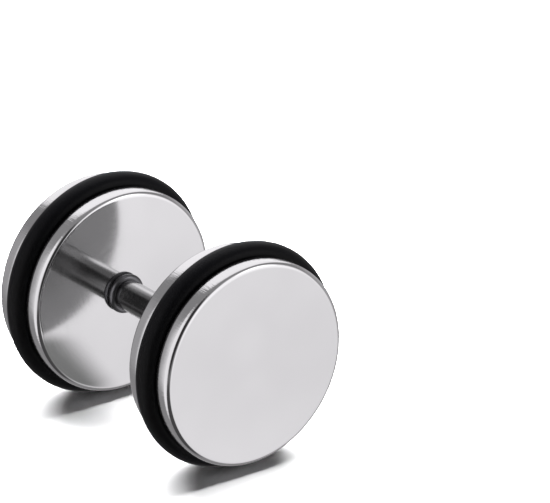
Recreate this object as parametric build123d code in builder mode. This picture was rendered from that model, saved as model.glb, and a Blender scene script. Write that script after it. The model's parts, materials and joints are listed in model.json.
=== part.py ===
from build123d import *
import os

# Barbell stud earring: two grooved steel plates with rubber rings on a thin post.
# The post lies along X with the front plate at +X. The origin is on the surface that the
# rubber rings rest on, below the middle of the post. Sizes are in millimetres.

# Plates
plate_diameter = 8.1
plate_thickness = 2.5
wear_length = 5.9           # between the inner faces of the two plates
edge_round = 0.18           # rounding of the edge of each face
lip_break = 0.03            # chamfer on the two lips of the groove
face_skin = 0.9             # metal left between a blind hole and the outer face

# Rubber rings
ring_section = 0.96         # thickness of the stretched ring
ring_proud = 0.40           # how far the ring stands out of the metal
ring_side_gap = 0.10        # between the ring and each wall of its groove
ring_seat_gap = 0.02        # between the ring and the floor of its groove

# Post, with a pressed end in the front plate and a screw end that the rear plate turns on
post_diameter = 1.2
shoulder_step = 0.17        # how far the surface of each end lies below the post's
press_gap = 0.01            # round the pressed end in the front plate
thread_gap = 0.04           # round the screw end in the rear plate
end_gap = 0.10              # between each end of the post and the bottom of its hole
shoulder_gap = 0.02         # between each shoulder of the post and what it stands against
tip_break = 0.10            # chamfer on both ends of the post

# Collar round the post on the inner face of the rear plate
collar_step = 0.2           # how far the collar's rim stands out past the post
collar_length = 0.3
collar_flat = 0.06          # straight band between the collar's two rounded edges

# Radii and stations that follow from the sizes
plate_radius = plate_diameter / 2
post_radius = post_diameter / 2
end_radius = post_radius - shoulder_step
collar_radius = post_radius + collar_step
collar_round = (collar_length - collar_flat) / 2
ring_radius = plate_radius + ring_proud - ring_section / 2
groove_floor_radius = plate_radius + ring_proud - ring_section - ring_seat_gap
groove_width = ring_section + 2 * ring_side_gap
axis_height = plate_radius + ring_proud
inner_face_x = wear_length / 2
plate_mid_x = inner_face_x + plate_thickness / 2
blind_depth = plate_thickness - face_skin
collar_face_x = -inner_face_x + collar_length
front_shoulder_x = inner_face_x - shoulder_gap
rear_shoulder_x = collar_face_x + shoulder_gap
post_front_x = inner_face_x + blind_depth - end_gap
post_rear_x = -inner_face_x - blind_depth + end_gap

# The half section is drawn with its first axis along the post and its second axis outwards
section = Plane(origin=(0, 0, axis_height), x_dir=(1, 0, 0), z_dir=(0, -1, 0))
post_axis = Axis((0, 0, axis_height), (1, 0, 0))


def plate_section(mid_x):
    """Half section of one plate, with the groove for its rubber ring."""
    with BuildSketch(section) as half_plate:
        with Locations((mid_x, 0)):
            Rectangle(plate_thickness, plate_radius, align=(Align.CENTER, Align.MIN))
        with Locations((mid_x, groove_floor_radius)):
            Rectangle(groove_width, plate_radius, align=(Align.CENTER, Align.MIN), mode=Mode.SUBTRACT)
        rim_corners = vertices().group_by(Axis.Y)[-1].sort_by(Axis.X)
        fillet([rim_corners[0], rim_corners[-1]], radius=edge_round)
        lip_corners = vertices().group_by(Axis.Y)[-1].sort_by(Axis.X)
        chamfer([lip_corners[1], lip_corners[2]], length=lip_break)
    return half_plate.sketch


def ring_cut(mid_x):
    """Round section of one rubber ring."""
    with BuildSketch(section) as round_cut:
        with Locations((mid_x, ring_radius)):
            Circle(ring_section / 2)
    return round_cut.sketch


# Front plate, with a blind socket for the pressed end of the post
with BuildPart() as front_plate:
    revolve(plate_section(plate_mid_x), axis=post_axis)
    with BuildSketch(Plane(origin=(inner_face_x, 0, axis_height), z_dir=(1, 0, 0))):
        Circle(end_radius + press_gap)
    extrude(amount=blind_depth, mode=Mode.SUBTRACT)

# Rear plate, with its collar and the blind hole that takes the screw end
with BuildPart() as rear_plate:
    revolve(plate_section(-plate_mid_x), axis=post_axis)
    with BuildSketch(section):
        with Locations((-inner_face_x, 0)):
            Rectangle(collar_length, collar_radius, align=(Align.MIN, Align.MIN))
        fillet(vertices().group_by(Axis.Y)[-1], radius=collar_round)
    revolve(axis=post_axis)
    with BuildSketch(Plane(origin=(collar_face_x, 0, axis_height), z_dir=(-1, 0, 0))):
        Circle(end_radius + thread_gap)
    extrude(amount=collar_length + blind_depth, mode=Mode.SUBTRACT)

# Post, with its shoulders against the front plate and the collar, and its ends in the plates
with BuildPart() as post:
    with BuildSketch(section):
        with BuildLine():
            Polyline(
                (post_rear_x, 0),
                (post_rear_x, end_radius),
                (rear_shoulder_x, end_radius),
                (rear_shoulder_x, post_radius),
                (front_shoulder_x, post_radius),
                (front_shoulder_x, end_radius),
                (post_front_x, end_radius),
                (post_front_x, 0),
                close=True,
            )
        make_face()
        outer_corners = vertices().filter_by(lambda corner: corner.Y > 0).sort_by(Axis.X)
        chamfer([outer_corners[0], outer_corners[-1]], length=tip_break)
    revolve(axis=post_axis)

# Rubber rings
with BuildPart() as front_ring:
    revolve(ring_cut(plate_mid_x), axis=post_axis)

with BuildPart() as rear_ring:
    revolve(ring_cut(-plate_mid_x), axis=post_axis)

front_plate.part.label = "front_plate"
rear_plate.part.label = "rear_plate"
post.part.label = "post"
front_ring.part.label = "front_ring"
rear_ring.part.label = "rear_ring"

os.makedirs("parts", exist_ok=True)
export_step(front_plate.part, "parts/front_plate.step")
export_step(rear_plate.part, "parts/rear_plate.step")
export_step(post.part, "parts/post.step")
export_step(front_ring.part, "parts/front_ring.step")
export_step(rear_ring.part, "parts/rear_ring.step")
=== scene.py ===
"""Barbell stud earring: two turned steel plates with rubber rings, on a thin post.

Every length is in metres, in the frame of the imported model: the post lies along X with the
front plate at +X, and the rubber rings rest on Z = 0. A turned piece starts as one vertex on the
post's axis, is drawn outwards as a half section, has its corners rounded and is then spun.
"""

import json
import logging
import math
from collections.abc import Callable
from dataclasses import dataclass, replace
from enum import Enum

import bmesh
import bpy
from mathutils import Euler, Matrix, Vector


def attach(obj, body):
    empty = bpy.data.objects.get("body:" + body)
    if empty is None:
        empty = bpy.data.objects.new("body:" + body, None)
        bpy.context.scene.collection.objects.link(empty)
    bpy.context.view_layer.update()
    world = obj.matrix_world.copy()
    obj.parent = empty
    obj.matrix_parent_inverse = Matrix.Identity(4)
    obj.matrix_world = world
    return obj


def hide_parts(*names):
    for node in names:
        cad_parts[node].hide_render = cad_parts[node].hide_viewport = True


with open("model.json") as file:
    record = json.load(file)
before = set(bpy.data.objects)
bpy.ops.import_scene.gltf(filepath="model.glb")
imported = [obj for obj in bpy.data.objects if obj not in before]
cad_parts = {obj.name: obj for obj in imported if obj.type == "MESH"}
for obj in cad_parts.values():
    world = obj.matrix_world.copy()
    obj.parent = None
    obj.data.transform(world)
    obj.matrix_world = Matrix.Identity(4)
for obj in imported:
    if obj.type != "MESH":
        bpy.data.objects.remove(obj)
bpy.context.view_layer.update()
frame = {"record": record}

log = logging.getLogger("stud")

MM = 0.001
FULL_TURN = 2 * math.pi
WELD = 1e-7                 # vertices nearer than this are one
SAME_SPOT = 10 * WELD       # a vertex nearer than this to a corner's place is that corner
NOISE_LOW, NOISE_HIGH = 0.3, 0.7        # nearly all of a noise lies between these


def linear(hex_colour: str) -> tuple[float, float, float, float]:
    """Turns an sRGB hex colour to linear light.

    Args:
        hex_colour: The colour as "#rrggbb".

    Returns:
        Red, green, blue and an alpha of 1.
    """
    parts = [int(hex_colour[i:i + 2], 16) / 255 for i in (1, 3, 5)]
    light = [p / 12.92 if p <= 0.04045 else ((p + 0.055) / 1.055) ** 2.4 for p in parts]
    return (*light, 1.0)


def add_node(
    tree: bpy.types.NodeTree,
    kind: str,
    settings: dict[str, object] | None = None,
    sockets: dict[str | int, object] | None = None,
) -> bpy.types.Node:
    """Adds one node to a tree, with its settings and what feeds it.

    Args:
        tree: The node tree that gets the node.
        kind: The node's type, such as "ShaderNodeMath".
        settings: The node's own properties by name.
        sockets: Input sockets by name or number, each with a value or with the output
            socket that is linked to it.

    Returns:
        The new node.
    """
    node = tree.nodes.new(kind)
    for name, value in (settings or {}).items():
        setattr(node, name, value)
    for name, value in (sockets or {}).items():
        if isinstance(value, bpy.types.NodeSocket):
            tree.links.new(value, node.inputs[name])
        else:
            node.inputs[name].default_value = value
    return node


def new_tree(owner: bpy.types.Material | bpy.types.World) -> bpy.types.NodeTree:
    """Switches an owner's nodes on and returns its empty node tree."""
    owner.use_nodes = True
    owner.node_tree.nodes.clear()
    return owner.node_tree


def add_noise(
    tree: bpy.types.NodeTree,
    place: bpy.types.NodeSocket,
    scale: float,
    detail: float,
    roughness: float,
) -> bpy.types.NodeSocket:
    """Adds a noise.

    Args:
        tree: The node tree that gets it.
        place: The vector at which it is read.
        scale: How many grains it has per unit of that vector.
        detail: How many finer layers it has.
        roughness: How strong each finer layer is.

    Returns:
        The noise's value.
    """
    return add_node(tree, "ShaderNodeTexNoise", sockets={
        "Vector": place, "Scale": scale, "Detail": detail,
        "Roughness": roughness}).outputs["Fac"]


def add_swing(
    tree: bpy.types.NodeTree, noise: bpy.types.NodeSocket, middle: float, swing: float
) -> bpy.types.NodeSocket:
    """Spreads a noise about a value.

    Args:
        tree: The node tree that gets the spreading node.
        noise: The noise.
        middle: The value that the middle of the noise becomes.
        swing: How far the value goes to each side.

    Returns:
        The spread value.
    """
    return add_node(tree, "ShaderNodeMapRange", sockets={
        "Value": noise, "From Min": NOISE_LOW, "From Max": NOISE_HIGH,
        "To Min": middle - swing, "To Max": middle + swing}).outputs[0]


def add_relief(
    tree: bpy.types.NodeTree,
    height: bpy.types.NodeSocket,
    depth: float,
    normal: bpy.types.NodeSocket | None = None,
) -> bpy.types.NodeSocket:
    """Gives a surface a fine relief.

    Args:
        tree: The node tree that gets it.
        height: The relief's height, from 0 to 1.
        depth: How deep it is from 0 to 1.
        normal: The normal of a relief that this one lies on, if there is one.

    Returns:
        The normal of the surface with its relief.
    """
    sockets = {"Strength": 1.0, "Distance": depth, "Height": height}
    if normal is not None:
        sockets["Normal"] = normal
    return add_node(tree, "ShaderNodeBump", sockets=sockets).outputs[0]


def add_soft_step(
    tree: bpy.types.NodeTree, value: bpy.types.NodeSocket, outside: float, inside: float
) -> bpy.types.NodeSocket:
    """Makes the soft edge of a shape.

    Args:
        tree: The node tree that gets it.
        value: The measure that tells the shape's inside from its outside.
        outside: Where the edge ends, with 0 from there on.
        inside: Where the edge starts, with 1 up to there.

    Returns:
        How much a place belongs to the shape, from 0 to 1.
    """
    return add_node(tree, "ShaderNodeMapRange", {"interpolation_type": "SMOOTHSTEP"}, {
        "Value": value, "From Min": outside, "From Max": inside}).outputs[0]


class Side(Enum):
    """Which end of the post a plate is on, as its sign along X."""

    FRONT = 1
    REAR = -1


@dataclass(frozen=True)
class Layout:
    """Places that all pieces share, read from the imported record."""

    axis_height: float
    outer_face: float
    post_radius: float

    @classmethod
    def from_record(cls, record: dict) -> "Layout":
        """Reads the layout from the record's mounts.

        Args:
            record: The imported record.

        Returns:
            The layout, in metres.
        """
        mounts = {mount["name"]: mount for mount in record["mounts"]}
        return cls(
            axis_height=mounts["post"]["pos_m"][2],
            outer_face=mounts["front_face"]["pos_m"][0],
            post_radius=mounts["post"]["dims"]["r_mm"] * MM,
        )

    @property
    def axis_point(self) -> Vector:
        """The point of the post's axis below which the origin lies."""
        return Vector((0.0, 0.0, self.axis_height))


@dataclass(frozen=True)
class Corner:
    """One corner of a half section.

    x is the place along the post, radius the distance from its axis, rounding the length that
    its rounded edge takes off each of the two sides, and steps how many steps that edge has.
    """

    x: float
    radius: float
    rounding: float = 0.0
    steps: int = 1


class Lathe:
    """Draws half sections and spins them about the post's axis, with Blender's own tools."""

    def __init__(self, layout: Layout) -> None:
        """Keeps the layout that gives the axis."""
        self.layout = layout

    def point(self, corner: Corner) -> Vector:
        """The corner's place in the frame, straight above the axis."""
        return Vector((corner.x, 0.0, self.layout.axis_height + corner.radius))

    def start(self, name: str) -> bpy.types.Object:
        """Names the new primitive, moves its place into its mesh and opens it for editing.

        Args:
            name: The name of the piece.

        Returns:
            The piece, in edit mode.
        """
        piece = bpy.context.object
        piece.name = piece.data.name = name
        bpy.ops.object.transform_apply(location=True, rotation=True, scale=True)
        bpy.ops.object.mode_set(mode="EDIT")
        return piece

    def pick(self, piece: bpy.types.Object, test: Callable[[Vector], bool]) -> None:
        """Selects the vertices of an open piece that pass a test, and nothing else.

        Args:
            piece: The piece in edit mode.
            test: Says of a vertex's place whether it is picked.
        """
        bpy.ops.mesh.select_mode(type="VERT")
        bpy.ops.mesh.select_all(action="DESELECT")
        sheet = bmesh.from_edit_mesh(piece.data)
        for vertex in sheet.verts:
            vertex.select_set(test(vertex.co))
        sheet.select_flush(True)
        bmesh.update_edit_mesh(piece.data)

    def draw(self, name: str, corners: list[Corner]) -> bpy.types.Object:
        """Draws a half section as a line of edges and rounds its corners.

        Args:
            name: The name of the piece.
            corners: The section's corners in order, the first and last on the axis.

        Returns:
            The piece, still in edit mode.
        """
        deselect_all()
        first = self.point(corners[0])
        bpy.ops.mesh.primitive_plane_add(size=MM, location=first)
        piece = self.start(name)
        bpy.ops.mesh.merge(type="CENTER")
        here = first
        for corner in corners[1:]:
            there = self.point(corner)
            bpy.ops.mesh.extrude_region_move(TRANSFORM_OT_translate={"value": there - here})
            here = there
        for corner in corners:
            if corner.rounding > 0:
                spot = self.point(corner)
                self.pick(piece, lambda place: (place - spot).length < SAME_SPOT)
                bpy.ops.mesh.bevel(
                    affect="VERTICES",
                    offset_type="OFFSET",
                    offset=corner.rounding,
                    segments=corner.steps,
                    profile=0.5,
                    clamp_overlap=False,
                )
        return piece

    def spin(self, piece: bpy.types.Object, steps: int) -> None:
        """Spins an open piece's section once round the axis and closes the piece.

        Args:
            piece: The piece in edit mode.
            steps: How many steps the turn has.
        """
        bpy.ops.mesh.select_all(action="SELECT")
        bpy.ops.mesh.spin(
            steps=steps, angle=FULL_TURN, center=self.layout.axis_point, axis=(1.0, 0.0, 0.0)
        )
        bpy.ops.mesh.select_all(action="SELECT")
        bpy.ops.mesh.remove_doubles(threshold=WELD)
        bpy.ops.mesh.select_all(action="SELECT")
        bpy.ops.mesh.normals_make_consistent(inside=False)
        bpy.ops.object.mode_set(mode="OBJECT")

    def turn(self, name: str, corners: list[Corner], steps: int) -> bpy.types.Object:
        """Makes a whole turned piece from the corners of its half section.

        Args:
            name: The name of the piece.
            corners: The section's corners in order, the first and last on the axis.
            steps: How many steps its circumference has.

        Returns:
            The finished piece, in object mode.
        """
        piece = self.draw(name, corners)
        self.spin(piece, steps)
        return piece


def deselect_all() -> None:
    """Deselects every object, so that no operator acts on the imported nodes."""
    bpy.ops.object.select_all(action="DESELECT")


def take_up(piece: bpy.types.Object) -> None:
    """Makes a piece the only selected object and the active one."""
    deselect_all()
    piece.select_set(True)
    bpy.context.view_layer.objects.active = piece


def smooth(piece: bpy.types.Object, crease_deg: float) -> None:
    """Shades a piece smooth, with creases where faces meet at more than an angle.

    Args:
        piece: The piece to shade.
        crease_deg: The angle above which an edge stays sharp.
    """
    take_up(piece)
    bpy.ops.object.shade_smooth_by_angle(angle=math.radians(crease_deg))


@dataclass(frozen=True)
class TurnedSteel:
    """Stainless steel, faced and polished on a lathe.

    The tool leaves fine rings round the axis, on the faces and on the rim alike, so a light
    spreads across the rings: outwards from the middle of a face and along the rim's width. The
    polish leaves faint broad clouds, and the belt that runs across the rim leaves short marks
    along the post, which give the rim's highlights a grain.
    """

    name: str
    axis_height: float
    colour: str = "#bcbcbc"
    roughness: float = 0.1
    roughness_swing: float = 0.02
    stretch: float = 0.6
    ring_pitch: float = 0.05 * MM     # real rings are about 0.01 mm apart, too fine to show
    ring_changes: float = 5.0         # how often a ring's tone changes, per radian
    ring_depth: float = 0.00025 * MM
    ring_detail: float = 3.0
    mark_width: float = 0.05 * MM     # also drawn coarser than the real marks
    mark_length: float = 0.6 * MM
    mark_depth: float = 0.0045 * MM
    mark_detail: float = 2.0
    line_roughness: float = 0.6       # how strong the finer rings and marks are
    rim_radius: float = 3.95 * MM     # the marks lie outside this radius
    rim_fade: float = 0.04 * MM       # and reach their full depth this much further out
    cloud_size: float = 4.0 * MM
    cloud_swing: float = 0.04         # how far the clouds change the steel's brightness
    cloud_detail: float = 2.0
    cloud_roughness: float = 0.5

    def material(self) -> bpy.types.Material:
        """Makes the material.

        Returns:
            The new material.
        """
        steel = bpy.data.materials.new(self.name)
        tree = new_tree(steel)
        place = add_node(tree, "ShaderNodeTexCoord").outputs["Object"]
        about_axis = add_node(tree, "ShaderNodeMapping", sockets={
            "Vector": place, "Location": (0.0, 0.0, -self.axis_height)}).outputs[0]
        parts = add_node(tree, "ShaderNodeSeparateXYZ", sockets={0: about_axis})
        along = parts.outputs["X"]
        outward = add_node(tree, "ShaderNodeCombineXYZ", sockets={
            1: parts.outputs["Y"], 2: parts.outputs["Z"]}).outputs[0]
        radius = add_node(tree, "ShaderNodeVectorMath", {"operation": "LENGTH"}, {
            0: outward}).outputs["Value"]
        direction = add_node(tree, "ShaderNodeVectorMath", {"operation": "NORMALIZE"}, {
            0: outward}).outputs[0]
        rings = self.rings(tree, along, radius, direction)
        marks = self.marks(tree, along, radius, direction)
        ringed = add_relief(tree, rings, self.ring_depth)
        relief = add_relief(tree, marks, self.mark_depth, ringed)
        shader = add_node(tree, "ShaderNodeBsdfPrincipled", sockets={
            "Base Color": self.clouded_colour(tree, place),
            "Metallic": 1.0,
            "Roughness": add_swing(tree, rings, self.roughness, self.roughness_swing),
            "Anisotropic": self.stretch,
            "Tangent": self.across_rings(tree, direction),
            "Normal": relief})
        add_node(tree, "ShaderNodeOutputMaterial", sockets={"Surface": shader.outputs[0]})
        return steel

    def rings(
        self,
        tree: bpy.types.NodeTree,
        along: bpy.types.NodeSocket,
        radius: bpy.types.NodeSocket,
        direction: bpy.types.NodeSocket,
    ) -> bpy.types.NodeSocket:
        """Draws the rings that the lathe's tool leaves.

        Args:
            tree: The material's node tree.
            along: The place along the post.
            radius: The distance from its axis.
            direction: The unit vector away from its axis.

        Returns:
            The rings' height.
        """
        profile = add_node(tree, "ShaderNodeMath", {"operation": "ADD"}, {
            0: along, 1: radius}).outputs[0]
        ring = add_node(tree, "ShaderNodeMath", {"operation": "DIVIDE"}, {
            0: profile, 1: self.ring_pitch}).outputs[0]
        return self.lines(tree, direction, self.ring_changes, ring, self.ring_detail)

    def marks(
        self,
        tree: bpy.types.NodeTree,
        along: bpy.types.NodeSocket,
        radius: bpy.types.NodeSocket,
        direction: bpy.types.NodeSocket,
    ) -> bpy.types.NodeSocket:
        """Draws the short marks that the belt leaves on the rim.

        Args:
            tree: The material's node tree.
            along: The place along the post.
            radius: The distance from its axis.
            direction: The unit vector away from its axis.

        Returns:
            The marks' height, which is 0 off the rim.
        """
        down_rim = add_node(tree, "ShaderNodeMath", {"operation": "DIVIDE"}, {
            0: along, 1: self.mark_length}).outputs[0]
        marks_per_radian = self.rim_radius / self.mark_width
        marks = self.lines(tree, direction, marks_per_radian, down_rim, self.mark_detail)
        on_rim = add_node(tree, "ShaderNodeMapRange", sockets={
            "Value": radius, "From Min": self.rim_radius,
            "From Max": self.rim_radius + self.rim_fade}).outputs[0]
        return add_node(tree, "ShaderNodeMath", {"operation": "MULTIPLY"}, {
            0: marks, 1: on_rim}).outputs[0]

    def lines(
        self,
        tree: bpy.types.NodeTree,
        direction: bpy.types.NodeSocket,
        per_radian: float,
        across: bpy.types.NodeSocket,
        detail: float,
    ) -> bpy.types.NodeSocket:
        """Adds a noise whose grains lie round the post's axis.

        Args:
            tree: The material's node tree.
            direction: The unit vector away from the post's axis.
            per_radian: How many grains it has per radian round that axis.
            across: The place square to that, counted in grains.
            detail: How many finer layers it has.

        Returns:
            The noise's value.
        """
        turned = add_node(tree, "ShaderNodeVectorMath", {"operation": "SCALE"}, {
            0: direction, "Scale": per_radian}).outputs[0]
        shift = add_node(tree, "ShaderNodeCombineXYZ", sockets={0: across}).outputs[0]
        place = add_node(tree, "ShaderNodeVectorMath", {"operation": "ADD"}, {
            0: turned, 1: shift}).outputs[0]
        return add_noise(tree, place, 1.0, detail, self.line_roughness)

    def clouded_colour(
        self, tree: bpy.types.NodeTree, place: bpy.types.NodeSocket
    ) -> bpy.types.NodeSocket:
        """Gives the steel's colour with the faint clouds of its polish.

        Args:
            tree: The material's node tree.
            place: The place on the piece.

        Returns:
            The colour.
        """
        clouds = add_noise(
            tree, place, 1 / self.cloud_size, self.cloud_detail, self.cloud_roughness
        )
        tone = add_swing(tree, clouds, 1.0, self.cloud_swing)
        return add_node(tree, "ShaderNodeVectorMath", {"operation": "SCALE"}, {
            0: linear(self.colour)[:3], "Scale": tone}).outputs[0]

    def across_rings(
        self, tree: bpy.types.NodeTree, direction: bpy.types.NodeSocket
    ) -> bpy.types.NodeSocket:
        """Finds the direction on the surface that crosses the rings.

        Args:
            tree: The material's node tree.
            direction: The unit vector away from the post's axis.

        Returns:
            The direction in which highlights are stretched.
        """
        round_axis = add_node(tree, "ShaderNodeVectorMath", {"operation": "CROSS_PRODUCT"}, {
            0: (1.0, 0.0, 0.0), 1: direction}).outputs[0]
        normal = add_node(tree, "ShaderNodeNewGeometry").outputs["Normal"]
        return add_node(tree, "ShaderNodeVectorMath", {"operation": "CROSS_PRODUCT"}, {
            0: normal, 1: round_axis}).outputs[0]


@dataclass(frozen=True)
class MouldedRubber:
    """Black nitrile rubber, moulded: matt black with a soft broad sheen and a fine orange peel."""

    name: str
    colour: str = "#040405"
    roughness: float = 0.4
    sheen_level: float = 0.06
    grain: float = 0.06 * MM
    grain_depth: float = 0.0008 * MM
    grain_detail: float = 3.0
    grain_roughness: float = 0.55

    def material(self) -> bpy.types.Material:
        """Makes the material.

        Returns:
            The new material.
        """
        rubber = bpy.data.materials.new(self.name)
        tree = new_tree(rubber)
        place = add_node(tree, "ShaderNodeTexCoord").outputs["Object"]
        peel = add_noise(tree, place, 1 / self.grain, self.grain_detail, self.grain_roughness)
        shader = add_node(tree, "ShaderNodeBsdfPrincipled", sockets={
            "Base Color": linear(self.colour),
            "Roughness": self.roughness,
            "Specular IOR Level": self.sheen_level,
            "Normal": add_relief(tree, peel, self.grain_depth)})
        add_node(tree, "ShaderNodeOutputMaterial", sockets={"Surface": shader.outputs[0]})
        return rubber


@dataclass
class Plate:
    """One turned plate: a disc with a groove round its rim and a blind hole in its inner face."""

    lathe: Lathe
    side: Side
    node: str
    body: str
    lip_radius: float = 4.05 * MM      # the lands rise slightly from the faces to the groove
    thickness: float = 2.5 * MM
    groove_width: float = 1.16 * MM
    groove_radius: float = 3.47 * MM
    hole_radius: float = 0.44 * MM
    hole_depth: float = 1.6 * MM
    hole_rounding: float = 0.02 * MM
    hole_steps: int = 2
    edge_rounding: float = 0.18 * MM
    edge_steps: int = 8
    edge_drop: float = 0.035 * MM      # how far the rim has come in by the face's edge
    crown_place: float = 0.33 * MM     # from the face to where the rim has its full radius
    crown_rounding: float = 0.14 * MM
    crown_steps: int = 6
    lip_rounding: float = 0.03 * MM
    lip_steps: int = 3
    face_margin: float = 0.03 * MM     # flat ring inside the rounded edge; keeps the face flat
    steps: int = 256
    crease_deg: float = 35.0

    def x(self, inward: float) -> float:
        """The place along X of a point that lies inward from the outer face."""
        return self.side.value * (self.lathe.layout.outer_face - inward)

    @property
    def land_width(self) -> float:
        """The width of the rim's land on either side of the groove."""
        return (self.thickness - self.groove_width) / 2

    def land(self, face: float, way: float) -> list[Corner]:
        """Draws one land of the rim.

        Args:
            face: How far inward from the outer face the land's own face lies.
            way: 1 if the groove lies further inward than that face, and -1 if not.

        Returns:
            Its corners, from the edge of its face to the lip of the groove.
        """
        edge = self.lip_radius - self.edge_drop
        return [
            Corner(self.x(face), edge - self.edge_rounding - self.face_margin),
            Corner(self.x(face), edge, self.edge_rounding, self.edge_steps),
            Corner(self.x(face + way * self.crown_place), self.lip_radius,
                   self.crown_rounding, self.crown_steps),
            Corner(self.x(face + way * self.land_width), self.lip_radius,
                   self.lip_rounding, self.lip_steps),
        ]

    def section(self) -> list[Corner]:
        """Draws the half section.

        Returns:
            Its corners, from the outer face round to the bottom of the hole.
        """
        groove_end = self.land_width + self.groove_width
        return [
            Corner(self.x(0.0), 0.0),
            *self.land(0.0, 1.0),
            Corner(self.x(self.land_width), self.groove_radius),
            Corner(self.x(groove_end), self.groove_radius),
            *reversed(self.land(self.thickness, -1.0)),
            *self.hole(),
        ]

    def hole(self) -> list[Corner]:
        """Draws the blind hole.

        Returns:
            Its corners, from the inner face to the axis.
        """
        face = self.thickness
        return [
            Corner(self.x(face), self.hole_radius, self.hole_rounding, self.hole_steps),
            Corner(self.x(face - self.hole_depth), self.hole_radius),
            Corner(self.x(face - self.hole_depth), 0.0),
        ]

    def build(self) -> bpy.types.Object:
        """Turns the plate.

        Returns:
            The finished mesh.
        """
        return self.lathe.turn(f"turned_{self.node}", self.section(), self.steps)

    def dress(self, plate: bpy.types.Object, finish: TurnedSteel) -> None:
        """Gives the plate its finish and its place on the frame.

        Args:
            plate: The plate's mesh.
            finish: The steel it is made of.
        """
        plate.data.materials.append(finish.material())
        smooth(plate, self.crease_deg)
        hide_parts(self.node)
        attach(plate, self.body)


@dataclass
class RearPlate(Plate):
    """The plate that comes off: the hole in it starts in a collar on its inner face."""

    collar_radius: float = 0.78 * MM
    collar_length: float = 0.3 * MM
    collar_rounding: float = 0.145 * MM     # of its edge next to the plate and of the other one
    collar_steps: int = 8
    collar_root: float = 0.001 * MM         # straight bit inside the rounding next to the plate
    # the collar's steel is darker and rougher than the plates'
    collar_colour: str = "#606062"
    collar_roughness: float = 0.3
    colour_start: float = 0.005 * MM        # how far from the inner face that colour starts

    def hole(self) -> list[Corner]:
        """Draws the collar and the hole in it.

        Returns:
            Their corners, from the inner face to the axis.
        """
        face = self.thickness
        top = face + self.collar_length
        root = self.collar_radius - self.collar_rounding - self.collar_root
        return [
            Corner(self.x(face), root),
            Corner(self.x(face), self.collar_radius, self.collar_rounding, self.collar_steps),
            Corner(self.x(top), self.collar_radius, self.collar_rounding, self.collar_steps),
            Corner(self.x(top), self.hole_radius, self.hole_rounding, self.hole_steps),
            Corner(self.x(face - self.hole_depth), self.hole_radius),
            Corner(self.x(face - self.hole_depth), 0.0),
        ]

    def dress(self, plate: bpy.types.Object, finish: TurnedSteel) -> None:
        """Gives the plate its finish, and the collar a darker, rougher steel.

        Args:
            plate: The plate's mesh.
            finish: The steel it is made of.
        """
        super().dress(plate, finish)
        dull = replace(finish, name="darker_collar_steel", colour=self.collar_colour,
                       roughness=self.collar_roughness)
        plate.data.materials.append(dull.material())
        start = self.x(self.thickness + self.colour_start)
        bpy.ops.object.mode_set(mode="EDIT")
        self.lathe.pick(plate, lambda place: place.x > start)
        plate.active_material_index = 1
        bpy.ops.object.material_slot_assign()
        bpy.ops.object.mode_set(mode="OBJECT")


@dataclass
class RubberRing:
    """One rubber ring, stretched into the groove of a plate."""

    lathe: Lathe
    side: Side
    node: str
    body: str
    section: float = 0.946 * MM        # the thickness of the ring
    centre_radius: float = 3.97 * MM
    from_outer_face: float = 1.25 * MM
    steps: int = 256
    section_steps: int = 48
    crease_deg: float = 60.0

    def build(self) -> bpy.types.Object:
        """Spins the ring's round section about the post's axis.

        Returns:
            The finished mesh.
        """
        face = self.lathe.layout.outer_face
        middle = Corner(self.side.value * (face - self.from_outer_face), self.centre_radius)
        deselect_all()
        bpy.ops.mesh.primitive_circle_add(
            vertices=self.section_steps,
            radius=self.section / 2,
            location=self.lathe.point(middle),
            rotation=(math.pi / 2, 0.0, 0.0),
        )
        ring = self.lathe.start(f"moulded_{self.node}")
        self.lathe.spin(ring, self.steps)
        return ring

    def dress(self, ring: bpy.types.Object, finish: MouldedRubber) -> None:
        """Gives the ring its finish and its place on the frame.

        Args:
            ring: The ring's mesh.
            finish: The rubber it is made of.
        """
        ring.data.materials.append(finish.material())
        smooth(ring, self.crease_deg)
        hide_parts(self.node)
        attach(ring, self.body)


@dataclass
class Post:
    """The post: one plain bar, with a thinner end in each plate."""

    lathe: Lathe
    end_radius: float = 0.43 * MM
    front_shoulder: float = 2.93 * MM       # where the thinner ends start, along X
    rear_shoulder: float = -2.63 * MM
    end_reach: float = 4.45 * MM            # how far both reach from the middle
    tip_rounding: float = 0.1 * MM
    shoulder_rounding: float = 0.02 * MM
    rounding_steps: int = 3
    steps: int = 96
    crease_deg: float = 35.0

    def build(self) -> bpy.types.Object:
        """Turns the post.

        Returns:
            The finished mesh.
        """
        radius = self.lathe.layout.post_radius
        tip = (self.end_radius, self.tip_rounding, self.rounding_steps)
        shoulder = (radius, self.shoulder_rounding, self.rounding_steps)
        return self.lathe.turn("turned_post", [
            Corner(self.end_reach, 0.0),
            Corner(self.end_reach, *tip),
            Corner(self.front_shoulder, self.end_radius),
            Corner(self.front_shoulder, *shoulder),
            Corner(self.rear_shoulder, *shoulder),
            Corner(self.rear_shoulder, self.end_radius),
            Corner(-self.end_reach, *tip),
            Corner(-self.end_reach, 0.0),
        ], self.steps)

    def dress(self, post: bpy.types.Object, finish: TurnedSteel) -> None:
        """Gives the post its finish and its place on the frame.

        Args:
            post: The post's mesh.
            finish: The steel it is made of.
        """
        post.data.materials.append(finish.material())
        smooth(post, self.crease_deg)
        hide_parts("post")
        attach(post, "front")


@dataclass(frozen=True)
class SkyPatch:
    """A soft-edged oval part of the surroundings that the steel reflects.

    It lies about a direction, given by its azimuth from +X towards +Y and its elevation. Its
    half angle is multiplied sideways by wide and upwards by tall.
    """

    azimuth_deg: float
    elevation_deg: float
    half_angle_deg: float
    blur_deg: float
    light: float
    wide: float = 1.0
    tall: float = 1.0

    def turn(self) -> Euler:
        """The turn that points Z at the middle of the patch and keeps Y upright."""
        return towards(self.azimuth_deg, self.elevation_deg).to_track_quat("Z", "Y").to_euler()


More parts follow.
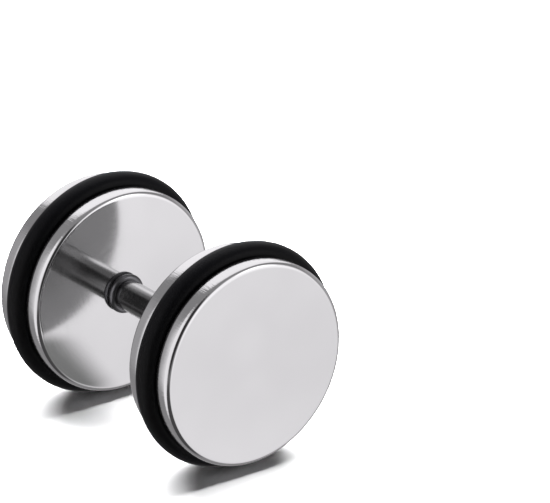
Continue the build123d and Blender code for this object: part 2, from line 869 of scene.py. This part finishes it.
def towards(azimuth_deg: float, elevation_deg: float) -> Vector:
    """Gives a direction.

    Args:
        azimuth_deg: The angle from +X towards +Y.
        elevation_deg: The angle above the floor.

    Returns:
        The unit vector.
    """
    azimuth, elevation = math.radians(azimuth_deg), math.radians(elevation_deg)
    level = math.cos(elevation)
    return Vector((level * math.cos(azimuth), level * math.sin(azimuth), math.sin(elevation)))


@dataclass(frozen=True)
class Lamp:
    """A round soft lamp that is aimed at the stud.

    It stands in a direction, given by its azimuth from +X towards +Y and its elevation. Its
    size is its diameter, and its power is in watts.
    """

    name: str
    azimuth_deg: float
    elevation_deg: float
    size: float
    distance: float
    watts: float


@dataclass
class Studio:
    """Pale floor, soft lights and the surroundings that the steel reflects."""

    layout: Layout
    floor_side: float = 1.2
    floor_colour: str = "#f4f4f5"
    floor_roughness: float = 0.9
    floor_sheen_level: float = 0.2
    # painted shade: a dimly glowing dark sheet under the post, seen only in the steel's
    # reflections, in place of the floor's shadow there
    shade_side: float = 12 * MM
    shade_height: float = 0.002 * MM    # just above the floor
    shade_light: float = 0.33
    shade_slant: float = 0.27           # how far its edge moves away per length along the post
    shade_edge: float = 0.55 * MM       # how far past the post's axis its edge lies
    shade_blur: float = 0.8 * MM
    shade_centre: tuple[float, float, float] = (1.0 * MM, -0.3 * MM, 0.0)
    shade_radius: float = 2.8 * MM
    shade_fade: float = 0.25            # share of that radius over which it fades, each way
    walls: float = 0.4
    tint: tuple[float, float, float, float] = (1.0, 0.98, 1.01, 1.0)    # barely purple
    patches: tuple[SkyPatch, ...] = (
        SkyPatch(130, 65, 25, 6, 1.5),                  # ceiling over the back
        SkyPatch(140, 42, 35, 4, 1.62),                 # white wall behind on the right
        SkyPatch(149, -30, 15, 5, 0.7),                 # table behind on the right
        SkyPatch(95, -18, 32, 8, 0.65),                 # table on the right
        SkyPatch(222, 2, 24, 8, 0.58),                  # grey wall behind on the left
        SkyPatch(30, -26, 22, 8, 1.33),                 # table ahead on the right
        SkyPatch(27, 7, 27, 8, 1.86),                   # soft box ahead on the right
        SkyPatch(37, 22, 10, 5, 3.4),                   # and the lamp in it
        SkyPatch(265, 16, 35, 8, 1.57),                 # soft box on the left
        SkyPatch(265, -16, 31, 8, 1.5, wide=1.2),       # and the white card under it
        SkyPatch(330, 18, 21, 4, 0.05, tall=1.7),       # black cloth round the camera
        SkyPatch(330, -48, 30, 6, 0.1),                 # and below it
    )
    lamps: tuple[Lamp, ...] = (
        Lamp("right_back_lamp", 103.0, 60.0, 0.2, 0.3, 3.2),
        Lamp("left_back_lamp", 182.0, 58.0, 0.24, 0.3, 2.8),
        Lamp("front_fill_lamp", 320.0, 35.0, 0.3, 0.4, 0.07),
    )

    def build_floor(self) -> None:
        """Makes the floor, a sheet of matt white card."""
        deselect_all()
        bpy.ops.mesh.primitive_plane_add(size=self.floor_side, location=(0.0, 0.0, 0.0))
        floor = bpy.context.object
        floor.name = "floor"
        card = bpy.data.materials.new("white_card")
        tree = new_tree(card)
        shader = add_node(tree, "ShaderNodeBsdfPrincipled", sockets={
            "Base Color": linear(self.floor_colour),
            "Roughness": self.floor_roughness,
            "Specular IOR Level": self.floor_sheen_level})
        add_node(tree, "ShaderNodeOutputMaterial", sockets={"Surface": shader.outputs[0]})
        floor.data.materials.append(card)
        floor.visible_glossy = False

    def build_shade(self) -> None:
        """Lays the shade between the plates, which only the steel's reflections see.

        It is painted shade: a dark, dimly glowing sheet on the floor that stands in for the
        floor's shadow under the post. It fades out across a slanting line on the far side of the
        post and round a circle elsewhere.
        """
        deselect_all()
        bpy.ops.mesh.primitive_plane_add(
            size=self.shade_side, location=(0.0, 0.0, self.shade_height)
        )
        sheet = bpy.context.object
        sheet.name = "shade_between_plates"
        shade = bpy.data.materials.new("floor_shade")
        tree = new_tree(shade)
        place = add_node(tree, "ShaderNodeTexCoord").outputs["Object"]
        parts = add_node(tree, "ShaderNodeSeparateXYZ", sockets={0: place})
        rise = add_node(tree, "ShaderNodeMath", {"operation": "MULTIPLY"}, {
            0: parts.outputs["X"], 1: self.shade_slant}).outputs[0]
        past = add_node(tree, "ShaderNodeMath", {"operation": "SUBTRACT"}, {
            0: parts.outputs["Y"], 1: rise}).outputs[0]
        before_line = add_soft_step(
            tree, past, self.shade_edge + self.shade_blur, self.shade_edge - self.shade_blur
        )
        centred = add_node(tree, "ShaderNodeVectorMath", {"operation": "DISTANCE"}, {
            0: place, 1: self.shade_centre}).outputs["Value"]
        in_circle = add_soft_step(
            tree, centred, self.shade_radius * (1 + self.shade_fade),
            self.shade_radius * (1 - self.shade_fade),
        )
        cover = add_node(tree, "ShaderNodeMath", {"operation": "MULTIPLY"}, {
            0: before_line, 1: in_circle}).outputs[0]
        clear = add_node(tree, "ShaderNodeBsdfTransparent")
        # painted shade: the sheet glows dimly in place of the floor's shadow
        dark = add_node(tree, "ShaderNodeEmission", sockets={"Strength": self.shade_light})
        blend = add_node(tree, "ShaderNodeMixShader", sockets={
            0: cover, 1: clear.outputs[0], 2: dark.outputs[0]})
        add_node(tree, "ShaderNodeOutputMaterial", sockets={"Surface": blend.outputs[0]})
        sheet.data.materials.append(shade)
        sheet.visible_camera = False
        sheet.visible_diffuse = False
        sheet.visible_shadow = False

    def build_world(self) -> None:
        """Paints the surroundings: grey walls with the patches laid over them in order."""
        world = bpy.data.worlds.new("studio")
        bpy.context.scene.world = world
        tree = new_tree(world)
        direction = add_node(tree, "ShaderNodeTexCoord").outputs["Generated"]
        level = self.walls
        for patch in self.patches:
            seen = add_node(tree, "ShaderNodeMapping", {"vector_type": "TEXTURE"}, {
                "Vector": direction, "Rotation": patch.turn(),
                "Scale": (patch.wide, patch.tall, 1.0)}).outputs[0]
            unit = add_node(tree, "ShaderNodeVectorMath", {"operation": "NORMALIZE"}, {
                0: seen}).outputs[0]
            depth = add_node(tree, "ShaderNodeSeparateXYZ", sockets={0: unit}).outputs["Z"]
            inside = add_soft_step(
                tree, depth, math.cos(math.radians(patch.half_angle_deg + patch.blur_deg)),
                math.cos(math.radians(patch.half_angle_deg - patch.blur_deg)),
            )
            level = add_node(tree, "ShaderNodeMix", {"data_type": "FLOAT"}, {
                "Factor": inside, 2: level, 3: patch.light}).outputs[0]
        background = add_node(tree, "ShaderNodeBackground", sockets={
            "Color": self.tint, "Strength": level})
        add_node(tree, "ShaderNodeOutputWorld", sockets={"Surface": background.outputs[0]})
        world.cycles_visibility.diffuse = False

    def add_lamp(self, lamp: Lamp) -> None:
        """Adds one lamp, which the steel doesn't show.

        Args:
            lamp: The lamp.
        """
        away = towards(lamp.azimuth_deg, lamp.elevation_deg)
        data = bpy.data.lights.new(lamp.name, "AREA")
        data.shape = "DISK"
        data.size = lamp.size
        data.energy = lamp.watts
        head = bpy.data.objects.new(lamp.name, data)
        head.location = self.layout.axis_point + away * lamp.distance
        head.rotation_euler = away.to_track_quat("Z", "Y").to_euler()
        head.visible_glossy = False
        bpy.context.scene.collection.objects.link(head)

    def build(self) -> None:
        """Sets up the floor, the surroundings and the lamps."""
        self.build_floor()
        self.build_shade()
        self.build_world()
        for lamp in self.lamps:
            self.add_lamp(lamp)


@dataclass(frozen=True)
class PhotoCamera:
    """The camera, at the angle from which the stud is seen."""

    azimuth_deg: float = 53.28          # 0 looks along +Y and 90 along -X
    elevation_deg: float = 23.38
    distance: float = 227.65 * MM
    aim_right: float = 4.0 * MM         # the picture's middle, right of the stud's own middle
    aim_up: float = 2.489 * MM
    lens: float = 394.64
    sensor_width: float = 36.0

    def build(self, layout: Layout) -> None:
        """Places the camera and makes it the scene's own.

        Args:
            layout: Gives the stud's middle.
        """
        azimuth, elevation = math.radians(self.azimuth_deg), math.radians(self.elevation_deg)
        back = Vector((
            math.sin(azimuth) * math.cos(elevation),
            -math.cos(azimuth) * math.cos(elevation),
            math.sin(elevation),
        ))
        right = Vector((math.cos(azimuth), math.sin(azimuth), 0.0))
        up = back.cross(right)
        data = bpy.data.cameras.new("camera")
        data.lens = self.lens
        data.sensor_width = self.sensor_width
        data.clip_start = 1 * MM
        camera = bpy.data.objects.new("camera", data)
        camera.location = (
            layout.axis_point + back * self.distance + right * self.aim_right + up * self.aim_up
        )
        camera.rotation_euler = back.to_track_quat("Z", "Y").to_euler()
        bpy.context.scene.collection.objects.link(camera)
        bpy.context.scene.camera = camera


def main() -> None:
    """Builds and dresses the stud piece by piece, then sets up the studio and the camera."""
    logging.basicConfig(level=logging.INFO, format="%(message)s")
    layout = Layout.from_record(frame["record"])
    lathe = Lathe(layout)
    plate_steel = TurnedSteel("turned_stainless_steel", layout.axis_height)
    post_steel = TurnedSteel(
        "polished_stainless_steel", layout.axis_height, colour="#a2a2a2", roughness=0.17,
        stretch=0.5, ring_pitch=0.03 * MM,
    )
    rubber = MouldedRubber("moulded_nitrile_rubber")
    parts = [
        (Plate(lathe, Side.FRONT, "front_plate", "front"), plate_steel),
        (RubberRing(lathe, Side.FRONT, "front_ring", "front"), rubber),
        (Post(lathe), post_steel),
        (RearPlate(lathe, Side.REAR, "rear_plate", "rear", hole_radius=0.47 * MM), plate_steel),
        (RubberRing(lathe, Side.REAR, "rear_ring", "rear"), rubber),
    ]
    for part, finish in parts:
        piece = part.build()
        part.dress(piece, finish)
        log.info("%s: %d faces", piece.name, len(piece.data.polygons))
    Studio(layout).build()
    PhotoCamera().build(layout)
    bpy.context.scene.view_settings.view_transform = "Standard"


if __name__ == "__main__":
    main()
